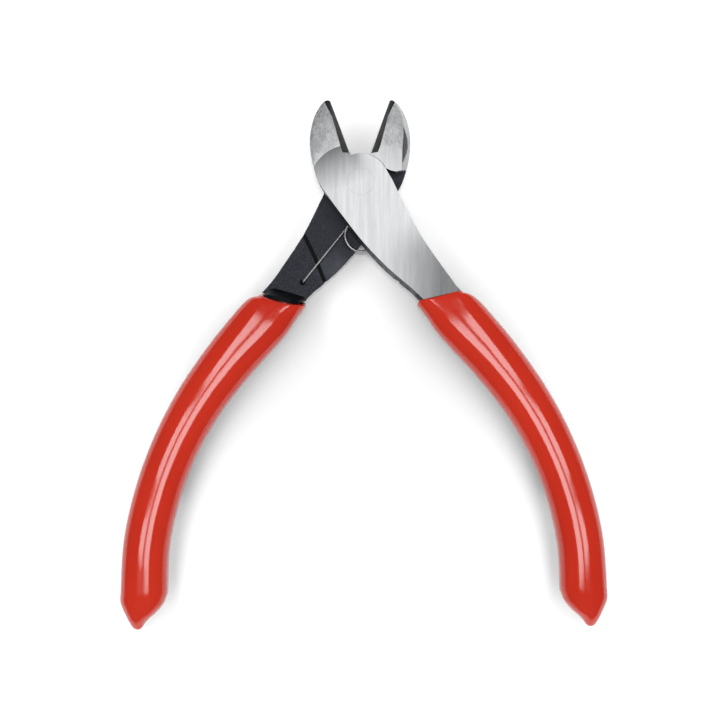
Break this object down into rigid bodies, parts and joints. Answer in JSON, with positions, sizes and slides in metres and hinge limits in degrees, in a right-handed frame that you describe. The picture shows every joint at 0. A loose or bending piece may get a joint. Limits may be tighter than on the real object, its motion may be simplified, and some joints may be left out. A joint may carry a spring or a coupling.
{
  "type": "diagonal cutting pliers",
  "caption": "Small diagonal cutting pliers with a flush lap joint, a torsion return spring between the shanks and glossy dipped grips, shown open.",
  "frame": {"origin": "on the pivot axis, at the rear lever's ground face, which is the lower one as the tool lies flat", "axes": "+Z along the pivot axis towards the front lever, +Y from the pivot towards the jaws, +X to the right, so that the handles open evenly to both sides of Y"},
  "size_m": [0.0922, 0.1003, 0.0084],
  "materials": {
    "lever_steel": "ground satin faces, black oxide on the forged sides and inner faces",
    "rivet_steel": "ground flush",
    "spring_wire": "bright drawn wire",
    "grip_vinyl": "glossy dipped vinyl"
  },
  "bodies": {
    "rear_half": {"rear_lever": "lever_steel", "pivot_rivet": "rivet_steel", "rear_grip": "grip_vinyl"},
    "front_half": {"front_lever": "lever_steel", "front_grip": "grip_vinyl"},
    "rear_spring_part": {"spring_coil": "spring_wire"},
    "front_spring_part": {"spring_front_leg": "spring_wire"}
  },
  "joints": [
    {"name": "handles_close", "type": "hinge", "parent": "rear_half", "child": "front_half", "pos_m": [0, 0, 0.0035], "axis": [0, 0, -1], "range_deg": [0, 39.4], "stiffness_Nm_per_rad": 0.3, "springref_deg": -5.73},
    {"name": "rear_spring_leg_turn", "type": "hinge", "parent": "rear_half", "child": "rear_spring_part", "pos_m": [-0.01118, -0.01881, 0.0029], "axis": [0, 0, 1], "range_deg": [0, 15]},
    {"name": "front_spring_leg_turn", "type": "hinge", "parent": "front_half", "child": "front_spring_part", "pos_m": [0.01118, -0.01881, 0.0041], "axis": [0, 0, -1], "range_deg": [0, 15]}
  ],
  "couplings": [
    {"joint": "rear_spring_leg_turn", "follows": "handles_close", "ratio": 0.377},
    {"joint": "front_spring_leg_turn", "follows": "handles_close", "ratio": 0.377}
  ]
}
